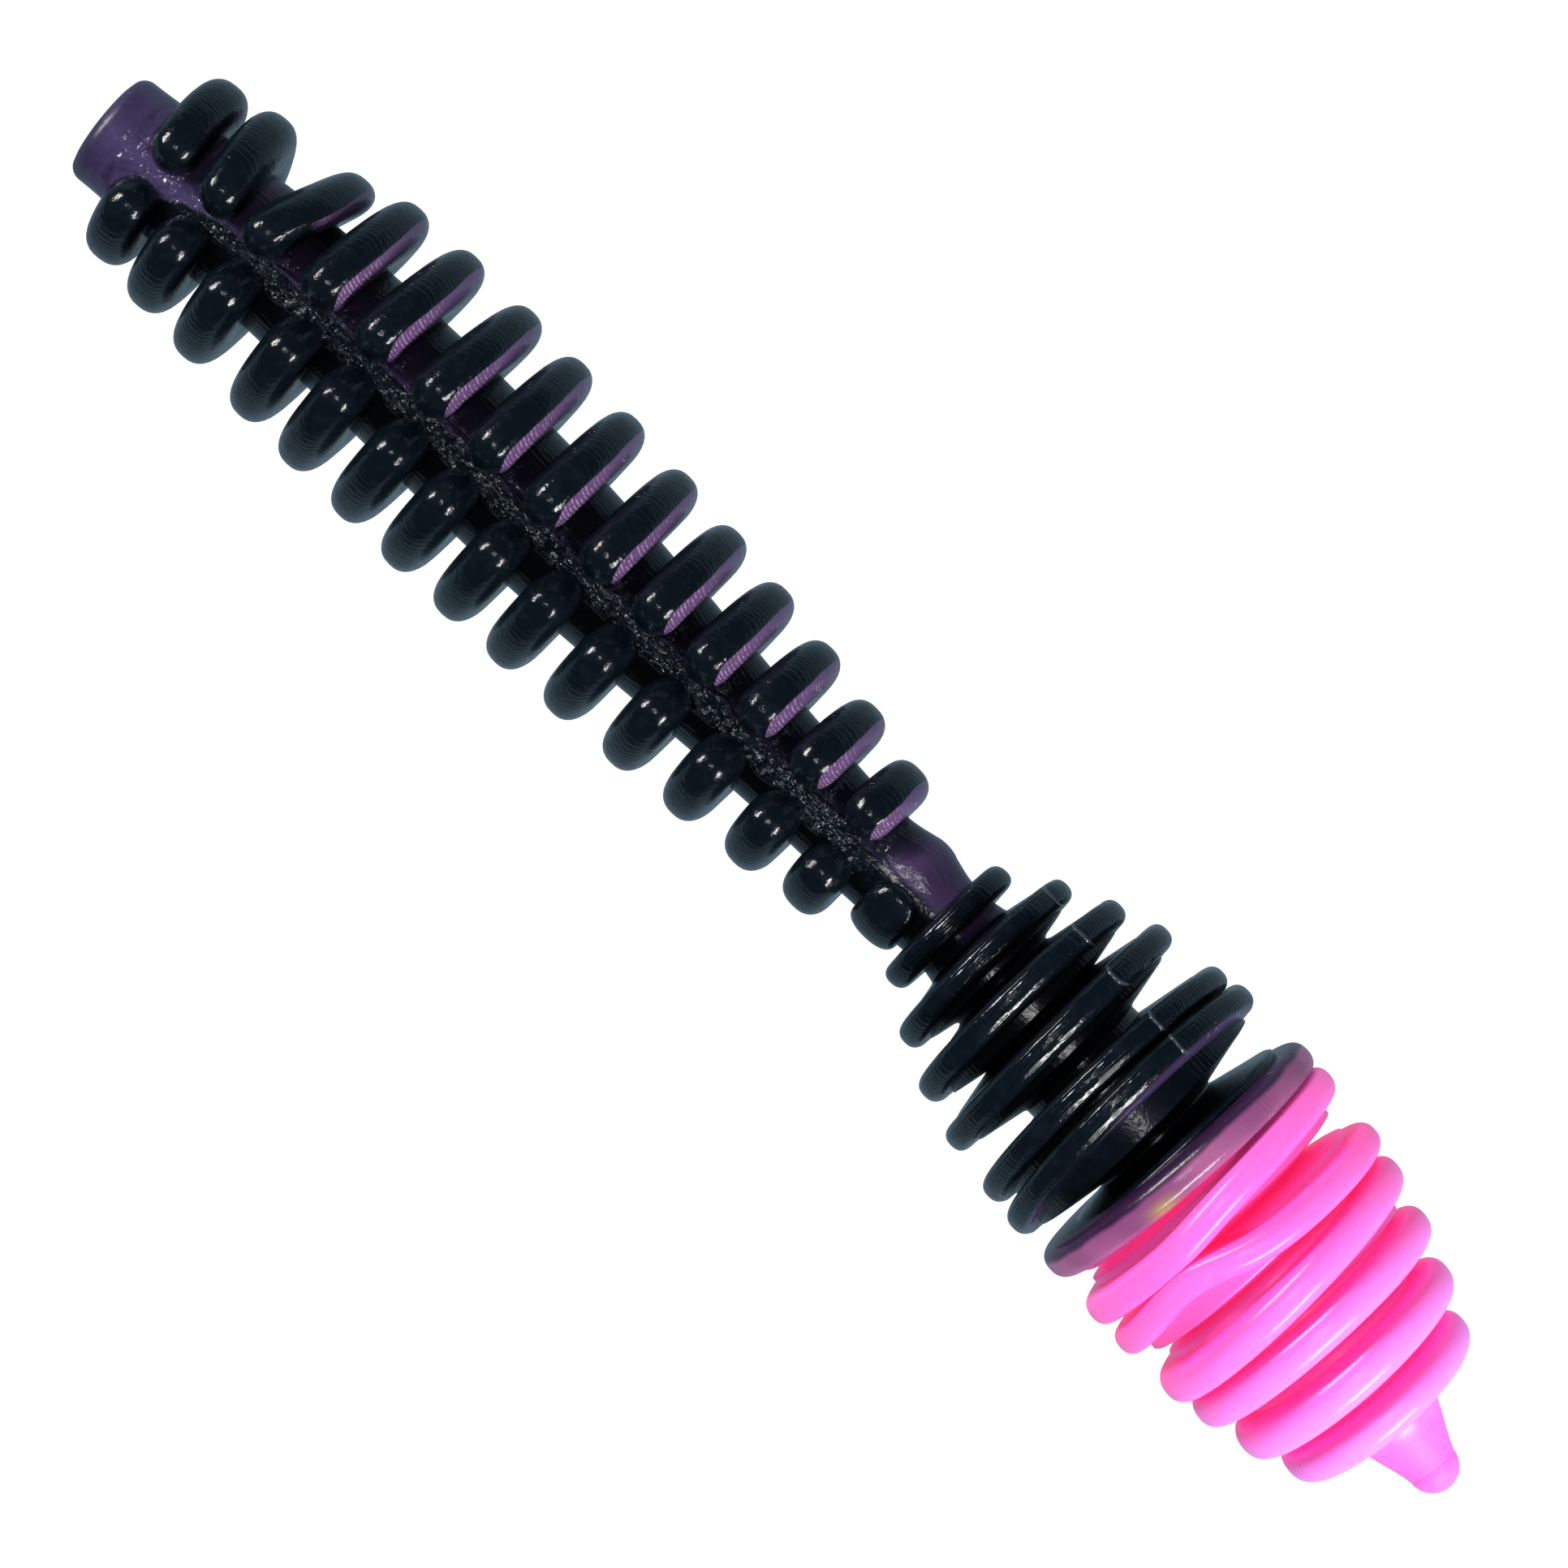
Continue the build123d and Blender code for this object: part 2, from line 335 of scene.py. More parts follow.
def keep_lay(piece):
    """Store each vertex's straight place, in millimetres, for the materials."""
    lay = piece.data.attributes.new("lay", "FLOAT_VECTOR", "POINT")
    flat = [value for vertex in piece.data.vertices for value in vertex.co]
    lay.data.foreach_set("vector", flat)


def store(piece, name, rule):
    """Store one number a vertex, worked out from its straight place."""
    attribute = piece.data.attributes.new(name, "FLOAT", "POINT")
    attribute.data.foreach_set("value", [rule(vertex.co) for vertex in piece.data.vertices])


def round_power(value, power):
    return math.copysign(abs(value) ** (2 / power), value)


def finish_piece(piece, material, slot, angle=60):
    piece.data.materials.clear()
    piece.data.materials.append(material)
    deselect()
    piece.select_set(True)
    bpy.context.view_layer.objects.active = piece
    bpy.ops.object.shade_smooth_by_angle(angle=math.radians(angle))
    deselect()


# ---------------------------------------------------------------- materials


class Value:
    """A socket of a material's nodes, or a plain number, that takes part in arithmetic."""

    def __init__(self, paint, socket):
        self.paint, self.socket = paint, socket

    def maths(self, operation, *others):
        settings = {"operation": operation}
        return self.paint.add("Math", settings, [self, *others])

    def __add__(self, other):
        return self.maths("ADD", other)

    def __sub__(self, other):
        return self.maths("SUBTRACT", other)

    def __rsub__(self, other):
        return self.paint.add("Math", {"operation": "SUBTRACT"}, [other, self])

    def __mul__(self, other):
        return self.maths("MULTIPLY", other)

    def __truediv__(self, other):
        return self.maths("DIVIDE", other)

    def __neg__(self):
        return self.maths("MULTIPLY", -1.0)

    def __pow__(self, other):
        return self.maths("POWER", other)

    __radd__, __rmul__ = __add__, __mul__

    def size(self):
        return self.maths("ABSOLUTE")

    def sine(self):
        return self.maths("SINE")

    def most(self, other):
        return self.maths("MAXIMUM", other)

    def step(self, low, high):
        """Ease from 0 at low to 1 at high."""
        settings = {"interpolation_type": "SMOOTHSTEP"}
        return self.paint.add("MapRange", settings, {"Value": self, "From Min": low, "From Max": high})

    def bell(self, centre, width):
        return (-(((self - centre) / width) ** 2.0)).maths("EXPONENT")


class Paint:
    """The nodes of one material."""

    def __init__(self, name):
        self.material = bpy.data.materials.new(name)
        self.material.use_nodes = True
        self.nodes, self.links = self.material.node_tree.nodes, self.material.node_tree.links
        self.nodes.clear()

    def add(self, kind, settings=None, inputs=None, output=0):
        """Add a node: its settings first, then the values or links of its sockets. Gives one output."""
        node = self.nodes.new("ShaderNode" + kind)
        for key, value in (settings or {}).items():
            setattr(node, key, value)
        inputs = inputs or {}
        pairs = inputs.items() if isinstance(inputs, dict) else enumerate(inputs)
        for key, value in pairs:
            if isinstance(value, Value):
                self.links.new(value.socket, node.inputs[key])
            else:
                node.inputs[key].default_value = value
        return Value(self, node.outputs[output]) if node.outputs else None

    def attribute(self, name, output="Fac"):
        return self.add("Attribute", {"attribute_name": name}, output=output)

    def lay(self):
        """Straight place along, across and above the core's axis, in millimetres, and as one vector."""
        place = self.attribute("lay", "Vector")
        return [self.add("SeparateXYZ", inputs=[place], output=axis) for axis in "XYZ"] + [place]

    def noise(self, place, scale, detail=3.0, stretch=(1, 1, 1), rough=0.5):
        settings = {"operation": "MULTIPLY"}
        stretched = self.add("VectorMath", settings, [place, stretch])
        wanted = {"Vector": stretched, "Scale": scale, "Detail": detail, "Roughness": rough}
        return self.add("TexNoise", inputs=wanted)

    def blend(self, share, first, second):
        """Colour that goes from first to second as share goes from 0 to 1."""
        return self.add("Mix", {"data_type": "RGBA"}, {0: share, 6: first, 7: second}, output=2)

    def bump(self, height, distance, strength):
        return self.add("Bump", inputs={"Height": height, "Distance": distance, "Strength": strength})

    def surface(self, inputs):
        shader = self.add("BsdfPrincipled", inputs=inputs)
        self.add("OutputMaterial", inputs={"Surface": shader})
        return self.material


BLACK = (0.0022, 0.0045, 0.0075, 1)
BLACK_WORN = (0.006, 0.010, 0.016, 1)
PURPLE = (0.050, 0.031, 0.085, 1)
# Lighter purple for the top end of the ribs' strip: painted light
PURPLE_LIT_TOP = (0.115, 0.064, 0.155, 1)
PURPLE_NOSE = (0.041, 0.031, 0.082, 1)
# Pale dashes on the ribs' purple strip: a painted highlight
PURPLE_NICK_HIGHLIGHT = (0.55, 0.33, 0.60, 1)
INDIGO = (0.030, 0.020, 0.058, 1)
# Pale grey flecks on the torn seam: a painted highlight
SEAM_GLINT_PAINT = (0.075, 0.09, 0.105, 1)
WITNESS = (0.1, 0.13, 0.16, 1)
JOINT_DEEP = (0.21, 0.06, 0.17, 1)
JOINT_GLOW = (0.33, 0.10, 0.24, 1)
JOINT_EDGE = (0.03, 0.01, 0.04, 1)
STAIN = (0.42, 0.30, 0.06, 1)
PINK_RIM = (1.0, 0.135, 0.56, 1)
PINK_VIOLET = (0.80, 0.29, 0.98, 1)
# Deeper, redder pinks of the grooves: painted shade
PINK_RECESS_SHADE = (1.0, 0.04, 0.29, 1)
PINK_RECESS_SHADE_TAIL = (1.0, 0.10, 0.55, 1)
PINK_NUB = (1.0, 0.17, 0.72, 1)
SPECK = (0.25, 0.01, 0.04, 1)
CUTTER_STEP = 0.17
# Spacing of the painted highlight dashes on the ribs' purple strip
HIGHLIGHT_DASH_STEP = 0.15
TURNED_STEP = 0.16


def mould_marks(paint, y, z, place, grain=0.45):
    """Height of the cutter's contour lines on the mould's steep walls, and of fine orange peel."""
    steep = (y.size() / ((y * y + z * z) ** 0.5)).step(0.35, 0.95)
    wander = paint.noise(place, 0.9, 2.0) * 0.25
    lines = ((z + wander) * (TAU / CUTTER_STEP)).sine().step(0.2, 1.0)
    patchy = paint.noise(place, 1.4, 3.0).step(0.42, 0.62)
    peel = paint.noise(place, 5.0, 3.0)
    return lines * steep * (patchy * 0.6 + 0.12) + peel * grain


def dark_inputs(paint, colour, height, wet):
    return {
        "Base Color": colour,
        "Roughness": wet,
        "IOR": 1.42,
        "Specular IOR Level": 0.42,
        "Normal": paint.bump(height, 0.04 * MM, 0.8),
    }


def core_plastic():
    """Skin of the core: black, with purple over the nose, along one side of the back and on the neck."""
    paint = Paint("black_and_purple_core")
    x, y, z, place = paint.lay()
    waver = (paint.noise(place, 1.1, 3.0) - 0.5) * 0.7
    edge = x.step(1.4, 4.2) * 2.2 - 2.3 + x.step(3.4, 7.5) * 0.45
    tongue = (y + waver - edge).step(-0.06, 0.06)
    stub = (z * 0.5 + 2.0 - (x - 1.9)).step(-0.1, 0.1).most((z + y).step(0.2, 0.9))
    nose = tongue * stub
    fade = 1 - x.step(4.5, 8.5)
    back = (y + waver * 0.5 - 0.28).step(-0.05, 0.05) * (1 - y.step(0.9, 2.2)) * z.step(0.0, 0.6)
    neck = (y + waver * 0.4 - 0.3).step(-0.05, 0.15) * x.step(36.3, 37.2) * (1 - x.step(40.2, 40.5))
    strong = (nose * fade).most(neck)
    worn = paint.noise(place, 2.2, 4.0).step(0.45, 0.75)
    colour = paint.blend(worn * 0.5, BLACK, BLACK_WORN)
    colour = paint.blend(back * (0.9 - x.step(13.0, 22.0) * 0.7), colour, INDIGO)
    purple = paint.blend(x.step(4.0, 9.0), PURPLE_NOSE, PURPLE)
    corner = (1 - (x + waver * 0.4).step(0.1, 0.75)) * z.step(-0.5, 1.0)
    colour = paint.blend(strong * (1 - corner * 0.55), colour, purple)
    torn = paint.attribute("torn")
    creases = paint.noise(place, 5.5, 2.0, (0.6, 1.5, 1.0), 0.6)
    # Pale flecks on the torn seam: painted highlight, standing in for the seam's small glints
    painted_seam_glints = creases.step(0.57, 0.66) * paint.noise(place, 1.6, 1.0).step(0.40, 0.58)
    colour = paint.blend(torn * painted_seam_glints, colour, SEAM_GLINT_PAINT)
    height = mould_marks(paint, y, z, place) + torn * creases * 3.0
    wet = 0.19 - torn * 0.05 + corner * 0.2
    return paint.surface(dark_inputs(paint, colour, height, wet))


def rib_plastic(striped):
    """Ribs: black, and on the purple side with a crisp purple strip along the flank that faces the tail."""
    paint = Paint("black_rib_purple_edge" if striped else "black_rib")
    x, y, z, place = paint.lay()
    worn = paint.noise(place, 2.2, 4.0).step(0.45, 0.75)
    colour = paint.blend(worn * 0.5, BLACK, BLACK_WORN)
    if striped:
        flank = paint.attribute("flank")
        reach = paint.attribute("reach")
        number = paint.attribute("number")
        waver = (paint.noise(place, 1.2, 2.0) - 0.5) * 0.1
        edge = 0.9 - reach.step(0.08, 0.26) * 0.32 - reach.step(0.5, 0.85) * 0.12 + waver
        strip = (flank - edge).step(-0.02, 0.04) * reach.step(0.07, 0.11)
        early = reach.step(0.38, 0.5)
        present = number.step(2.4, 2.6) * (number.step(3.4, 3.6).most(early))
        # The strip is painted lighter at the rib's top end and darker down its side: painted light and shade,
        # with some random tone
        side_shade = reach.step(0.4, 0.8) * 0.75
        shade = paint.blend((1 - side_shade) * (paint.noise(place, 3.0, 3.0) * 0.5 + 0.6), PURPLE, PURPLE_LIT_TOP)
        # Pale dashes along the strip's inner half: painted highlight, the lit crests of the cutter's scallops
        nick_highlights = ((y + x * 0.7) * (TAU / HIGHLIGHT_DASH_STEP)).sine().step(0.1, 0.9)
        nick_highlights = nick_highlights * paint.noise(place, 5.0, 2.0).step(0.4, 0.6)
        shade = paint.blend(nick_highlights * (1 - reach.step(0.3, 0.62)) * 0.6, shade, PURPLE_NICK_HIGHLIGHT)
        colour = paint.blend(strip * present, colour, shade)
    height = mould_marks(paint, y, z, place, 0.75)
    return paint.surface(dark_inputs(paint, colour, height, 0.17))


def black_disc_plastic():
    paint = Paint("black_disc")
    _, y, z, place = paint.lay()
    flank = paint.attribute("flank")
    last = paint.attribute("number").step(BLACK_DISCS - 1.6, BLACK_DISCS - 1.4)
    worn = paint.noise(place, 1.8, 4.0).step(0.4, 0.75)
    witness = (y + (paint.noise(place, 0.7, 1.0) - 0.5) * 0.3).bell(3.45, 0.04) * z.step(0.2, 1.0)
    colour = paint.blend(worn * 0.5, BLACK, BLACK_WORN)
    colour = paint.blend(witness * 0.5, colour, WITNESS)
    shot = y.step(-0.2, 0.9).most((-y).step(3.2, 4.2) * 0.7) * flank.step(0.55, 0.9) * last
    colour = paint.blend(shot * 0.8, colour, PURPLE)
    turned = (flank * 20.0).sine() * paint.noise(place, 1.6, 2.0).step(0.35, 0.6)
    height = mould_marks(paint, y, z, place) + witness * 1.5 + turned * 0.22
    return paint.surface(dark_inputs(paint, colour, height, 0.17))


def joint_disc_plastic():
    """The disc between the shots: see-through purple with a dark nose-side edge and a pink glow."""
    paint = Paint("translucent_purple_disc")
    _, y, z, place = paint.lay()
    flank = paint.attribute("flank")
    dark = 1 - (flank + (paint.noise(place, 0.5, 2.0) - 0.5) * 0.6).step(-0.6, -0.25)
    glow = paint.noise(place, 0.35, 1.0).step(0.3, 0.7)
    colour = paint.blend(glow, JOINT_DEEP, JOINT_GLOW)
    stain = y.bell(-0.5, 0.6) * z.step(4.4, 5.2) * flank.step(-0.2, 0.6)
    colour = paint.blend(stain * 0.6, colour, STAIN)
    colour = paint.blend(dark, colour, JOINT_EDGE)
    height = mould_marks(paint, y, z, place)
    wanted = dark_inputs(paint, colour, height, 0.24)
    wanted["Subsurface Weight"] = 0.3
    wanted["Subsurface Radius"] = (1.0, 0.3, 0.8)
    wanted["Subsurface Scale"] = 0.6 * MM
    return paint.surface(wanted)


def pink_plastic():
    """Fluorescent pink: bright pink on the rims, turning violet towards the tail. The deeper, redder pink in the
    grooves and on the rims' nose-facing flanks is painted shade.
    """
    paint = Paint("hot_pink")
    x, y, z, place = paint.lay()
    radius = (y * y + z * z) ** 0.5
    outward = paint.attribute("outward")
    flank = paint.attribute("flank")
    violet = x.step(52.5, 61.5) * 0.85 + (paint.noise(place, 0.5, 2.0) - 0.5) * 0.3
    rim = paint.blend(violet * outward * flank.step(-1.0, 0.7), PINK_RIM, PINK_VIOLET)
    # The rims' nose-facing flanks take the groove colour too: painted shade
    nose_flank_shade = (1 - flank.step(-1.05, 0.1)) * x.step(52.0, 53.5) * outward * 0.45
    # Deeper, redder pink in the grooves: painted shade, from light bouncing between the discs
    groove = paint.blend(x.step(55.0, 64.0), PINK_RECESS_SHADE, PINK_RECESS_SHADE_TAIL)
    colour = paint.blend(outward, groove, paint.blend(nose_flank_shade, rim, groove))
    nub = x.step(62.3, 62.8)
    colour = paint.blend(nub, colour, PINK_NUB)
    specks = paint.add("TexVoronoi", inputs={"Vector": place, "Scale": 0.9}, output="Distance")
    colour = paint.blend((1 - specks.step(0.03, 0.05)) * 0.6, colour, SPECK)
    steep = (y.size() / radius).step(0.3, 0.8)
    lines = ((z + paint.noise(place, 0.8, 1.0) * 0.1) * (TAU / CUTTER_STEP)).sine()
    turned = ((x + paint.noise(place, 0.6, 1.0) * 0.1) * (TAU / TURNED_STEP)).sine() * nub
    height = lines * steep * 0.2 + paint.noise(place, 4.0, 3.0) * 0.6 + turned * 0.2
    return paint.surface(
        {
            "Base Color": colour,
            "Roughness": nub * 0.25 + 0.3,
            "IOR": 1.42,
            "Subsurface Weight": 0.3,
            "Subsurface Radius": (1.0, 0.25, 0.6),
            "Subsurface Scale": 0.6 * MM,
            # The emission is a painted glow, standing in for the pink's fluorescence
            "Emission Color": colour,
            "Emission Strength": 0.16,
            "Normal": paint.bump(height, 0.03 * MM, 0.5),
        }
    )


# ---------------------------------------------------------------- the core's skin

CORE_SIDES = 128
TOP_CROWDING = 0.35
SPINE_START, SPINE_END = 3.0, 36.6


def crowded(angle):
    """Spread the core's columns so that they crowd along the top, where the back is wrinkled."""
    share = angle / math.pi
    return angle * (TOP_CROWDING + (1 - TOP_CROWDING) * share * share)


def crease(s, y, scale, seed):
    """Sharp-edged wrinkles, between 0 and 1."""
    return 1 - 2 * abs(noise.noise(Vector((s * scale, y * scale * 1.7, seed))))


def wrinkles(s, y, above):
    """Height of the rough seam along the back: two wavy lips with torn wrinkles between them."""
    if not above:
        return 0.0
    off = y - 0.2 * noise.noise(Vector((s * 0.55, 0, 0)))
    wide = 0.4 + 0.16 * noise.noise(Vector((s * 0.9, 3.1, 0)))
    lip = bell(abs(off), wide, 0.1) * (0.09 + 0.08 * noise.noise(Vector((s * 2.3, math.copysign(2, off), 0))))
    inside = 1 - smooth((abs(off) - wide) / 0.16)
    creases = 0.07 * crease(s, y, 2.2, 1.0) + 0.05 * crease(s, y, 4.6, 4.0)
    torn = creases * (1 + 0.9 * smooth((s - 12) / 8)) - 0.06
    along = smooth((s - SPINE_START) / 2.0) * (1 - smooth((s - SPINE_END + 1.5) / 1.5))
    peel = 0.07 * noise.fractal(Vector((s * 3.0, y * 3.4, 7.0)), 0.8, 2.0, 3)
    nose = (1 - smooth((s - 3.4) / 1.5)) * smooth((s - 0.6) / 0.8) * bell(y, 0, 1.5)
    return along * (lip + inside * torn) + nose * peel


def tabs(s, y, above):
    """Small rough tabs of torn skin just behind each rib's inner end on the purple side."""
    if not above or y < 0.3:
        return 0.0
    for index, (x, _, _) in RIBS.items():
        near = bell(s, x + 1.0 + LEFT_RIBS_SET.get(index, (0, 0))[0], 0.26) * bell(y, 0.85, 0.3)
        if near > 0.02 and index > 2:
            return near * (0.1 + 0.12 * noise.noise(Vector((s * 9, y * 4, 2))))
    return 0.0


def torn_skin(co):
    """How torn the skin is: along the seam, and in the tab behind each rib's inner end. The core material paints
    pale glints there, a painted highlight.
    """
    if co.z < 0.5:
        return 0.0
    along = smooth((co.x - SPINE_START - 0.5) / 2.5) * (1 - smooth((co.x - SPINE_END + 1.2) / 1.5))
    off = co.y - 0.2 * noise.noise(Vector((co.x * 0.55, 0, 0)))
    seam = 1 - smooth((abs(off) - 0.42) / 0.2)
    ribs = [(index, x) for index, (x, _, _) in RIBS.items() if index > 2]
    places = [x + 1.0 + LEFT_RIBS_SET.get(index, (0, 0))[0] for index, x in ribs]
    tab = max(bell(co.x, place, 0.3) for place in places) * bell(co.y, 0.8, 0.32)
    return max(along * seam, tab)


def neck_swelling(s, angle):
    """The neck's low swelling on the purple side, which the left knob only just tops."""
    proud = BUMP[2] - BUMP[1] * NECK_THINNING
    return 0.92 * proud * bell(s, BUMP[0] - 0.05, 1.15) * smooth((math.sin(angle) - 0.25) / 0.75)


def skin_point(s, angle, edge, dip):
    """Point of the core's skin at s, with the angle measured from the top towards the purple side.

    In a tuck the edge is its hinge, and the skin stays below its radius there, so that it never climbs a
    neighbour's fin.
    """
    radius = min(skin_radius(s), skin_radius(edge)) - dip
    y = radius * math.sin(angle)
    above = math.cos(angle) > 0.2
    radius += wrinkles(s, y, above) + tabs(s, y, above) + neck_swelling(s, angle)
    return Vector((s, radius * math.sin(angle), radius * math.cos(angle)))


def on_ring(s):
    """The nearest ring of the skin, so that neighbouring lengths have their rings in the same places."""
    return round(s / RING_STEP) * RING_STEP


def core_piece(name, start, end):
    """One length of skin: a many-sided cylinder, cut into rings."""
    deselect()
    bpy.ops.mesh.primitive_cylinder_add(
        vertices=CORE_SIDES,
        radius=1.0,
        depth=end - start,
        location=((start + end) / 2, 0, 0),
        rotation=(0, math.pi / 2, 0),
    )
    piece = new_piece(name)
    bpy.ops.object.transform_apply(location=True, rotation=True, scale=True)
    edit(piece, "EDGE")
    ends = {v.index: v.co.x for v in piece.data.vertices}
    pick(piece, lambda e: abs(ends[e.vertices[0]] - ends[e.vertices[1]]) > 1e-4, "edges")
    bpy.ops.mesh.subdivide(number_cuts=round((end - start) / RING_STEP) - 1)
    bpy.ops.object.mode_set(mode="OBJECT")
    return piece


def round_nose(piece):
    """Rings inside the flat nose face, which is dished a little."""
    edit(piece, "FACE")
    pick(piece, lambda f: f.center.x < 1e-4 and len(f.vertices) > 4, "polygons")
    for _ in range(4):
        bpy.ops.mesh.inset(thickness=0.2)
    bpy.ops.object.mode_set(mode="OBJECT")


def nose_point(co):
    radius = NOSE_FACE * math.hypot(co.y, co.z)
    angle = crowded(math.atan2(co.y, co.z))
    dish = 0.02 * noise.noise(Vector((co.y * 2, co.z * 2, 5)))
    inwards = dish * smooth((1 - radius / NOSE_FACE) * 3)
    return Vector((inwards, radius * math.sin(angle), radius * math.cos(angle)))


def closing(u):
    """Rings that crowd towards the far end, for a round tip."""
    return 1 - max(1 - u, 0.0) ** 1.7


def skin_length(name, start, end, link, material, slot, first=True, last=True):
    """One link's length of skin, from hinge to hinge, with a tuck past the first and the last of them."""
    low = on_ring(start - TUCK_LENGTH * first)
    high = on_ring(end + TUCK_LENGTH * last) if link < LAST else end
    piece = core_piece(name, low, high)
    if low == 0:
        round_nose(piece)

    def move(co):
        if co.x < 1e-5:
            return nose_point(co)
        s = low + (high - low) * closing((co.x - low) / (high - low)) if link == LAST else co.x
        beyond = max((start - s) * first, (s - end) * last, 0.0)
        edge = min(max(s, start), end) if beyond else s
        return skin_point(s, crowded(math.atan2(co.y, co.z)), edge, TUCK_DIP * beyond * beyond)

    shape(piece, move)
    store(piece, *(("outward", skin_outward) if slot == "pink_plastic" else ("torn", torn_skin)))
    keep_lay(piece)
    shape(piece, on_body)
    finish_piece(piece, material, slot)
    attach(piece, BODIES[link])
    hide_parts(frame["record"]["behaviour"]["bodies"][BODIES[link]][0])


def make_core(plastic, pink):
    """A length of skin on every link, and two where the shots meet, under the disc on the bulb's joint."""
    skin_length("nose_skin", 0.0, RUN[1], 0, plastic, "purple_plastic", first=False)
    joint = BODIES.index("bulb_joint")
    meeting = on_ring(DISCS[BLACK_DISCS][0])
    for link in range(1, joint):
        skin_length(f"core_skin_{link:02d}", RUN[link], RUN[link + 1], link, plastic, "black_plastic")
    skin_length("joint_skin_black", RUN[joint], meeting, joint, plastic, "black_plastic", last=False)
    skin_length("joint_skin_pink", meeting, RUN[joint + 1], joint, pink, "pink_plastic", first=False)
    skin_length("pink_skin", RUN[LAST - 1], NUB_START, LAST - 1, pink, "pink_plastic")
    skin_length("nub_skin", NUB_START, RUN[-1], LAST, pink, "pink_plastic", last=False)


def skin_outward(co):
    """How far a point of the skin stands out of the groove, from 0 at its bottom to 1 near the rims. The pink
    material paints its groove shade by it.
    """
    outer = max(outer for x, _, outer in DISCS.values() if abs(x - co.x) < 2.2) if co.x < 62.0 else 1.9
    return smooth((math.hypot(co.y, co.z) - (outer - 2.6)) / 1.8)


# ---------------------------------------------------------------- ribs

SECTION_POINTS = 36
RING_STEPS = 56
DOME_STEPS = 14


def rib_blank(name, seat, outer, half, power=RIB_CREST_POWER, tip=None):
    """Half ring: a rounded section spun round the core, its ends closed by spinning half of its outline."""
    inner = seat - RIB_SUNK
    middle = (inner + outer) / 2
    high = (outer - inner) / 2
    tip_angle = tip or math.asin(RIB_END_OFFSET / (outer - half))
    sweep = math.pi - 2 * tip_angle
    deselect()
    bpy.ops.mesh.primitive_circle_add(vertices=SECTION_POINTS, radius=1.0, fill_type="NOTHING")
    piece = new_piece(name)

    def section(co):
        across = round_power(co.x, power) * half
        out = middle + round_power(co.y, power) * high
        return Vector((across, out * math.sin(tip_angle), out * math.cos(tip_angle)))

    shape(piece, section)
    edit(piece)
    bpy.ops.mesh.select_all(action="SELECT")
    bpy.ops.mesh.spin(steps=RING_STEPS, angle=sweep, center=(0, 0, 0), axis=(1, 0, 0))
    for sign in (1, -1):
        axis = Vector((0, math.sin(tip_angle), sign * math.cos(tip_angle)))
        flat = Vector((0, math.cos(tip_angle), -sign * math.sin(tip_angle)))
        pick(piece, lambda v: abs(v.co.dot(flat)) < 1e-4 and v.co.dot(axis) > 0 and v.co.x > -1e-4)
        bpy.ops.mesh.spin(steps=DOME_STEPS, angle=sign * math.pi, center=(0, 0, 0), axis=axis)
    close_up(0.004)
    return piece


def rib_lean(index, side, co, outer):
    """How far a rib has settled along the body at one of its points. Its low side drags forwards."""
    low = min(co.z, 0.0) / outer
    shift = RIB_DRAG * low * (0.3 + 0.7 * index / RIB_COUNT)
    if side < 0:
        return shift + RIGHT_RIBS_SET.get(index, 0.0)
    inner, outer_end = LEFT_RIBS_SET.get(index, (0.0, 0.0))
    return shift + inner + (outer_end - inner) * smooth((abs(co.y) / outer - 0.2) / 0.8)


def make_ribs(plain, striped):
    half = RIB_HALF_WIDTH
    for index, (x, seat, outer) in RIBS.items():
        for side, word, material in ((1, "left", striped), (-1, "right", plain)):
            piece = rib_blank(f"rib_{word}_{index:02d}", seat, outer, half)
            store(piece, "flank", lambda co: co.x / half)
            turn = math.pi / 2
            store(piece, "reach", lambda co: (turn - math.atan2(co.z, co.y)) / turn)
            store(piece, "number", lambda co: index)
            if side < 0:
                shape(piece, lambda co: Vector((co.x, -co.y, co.z)))
                edit(piece)
                close_up(1e-5)
            short = SHORT_LEFT_RIBS.get(index, 1.0) if side > 0 else 1.0
            shape(piece, lambda co: Vector((co.x + x + rib_lean(index, side, co, outer), co.y * short, co.z)))
            keep_lay(piece)
            shape(piece, lambda co: on_link(index - 1, co))
            finish_piece(piece, material, "black_plastic")
            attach(piece, BODIES[index - 1])
            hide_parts(rib_node(index))


def make_bumps(core, plain):
    """The neck's two knobs: a low purple one on the left, and a proud black one on the right."""
    x, seat, outer = BUMP
    wanted = (
        ("left", 1, outer - 0.02, 0.8, 2.0, 34, -0.05, -0.45, core, "purple_plastic"),
        ("right", -1, outer + 0.08, 0.95, 2.4, 21, 0.22, 0.25, plain, "black_plastic"),
    )
    for word, side, height, half, power, tip, back, lift, material, slot in wanted:
        piece = rib_blank(f"neck_knob_{word}", seat, height, half, power, math.radians(tip))

        def settle(co):
            raised = co.z + lift * smooth((co.z + 1.0) / 3.0)
            return Vector((co.x + x + back, side * co.y, raised))

        shape(piece, settle)
        if side < 0:
            edit(piece)
            close_up(1e-5)
        keep_lay(piece)
        shape(piece, lambda co: on_link(RIB_COUNT, co))
        finish_piece(piece, material, slot)
        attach(piece, BODIES[RIB_COUNT])
        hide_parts(f"neck_bump_{word}")


# ---------------------------------------------------------------- discs

DISC_STEPS = 144
RIM_POINTS = 48


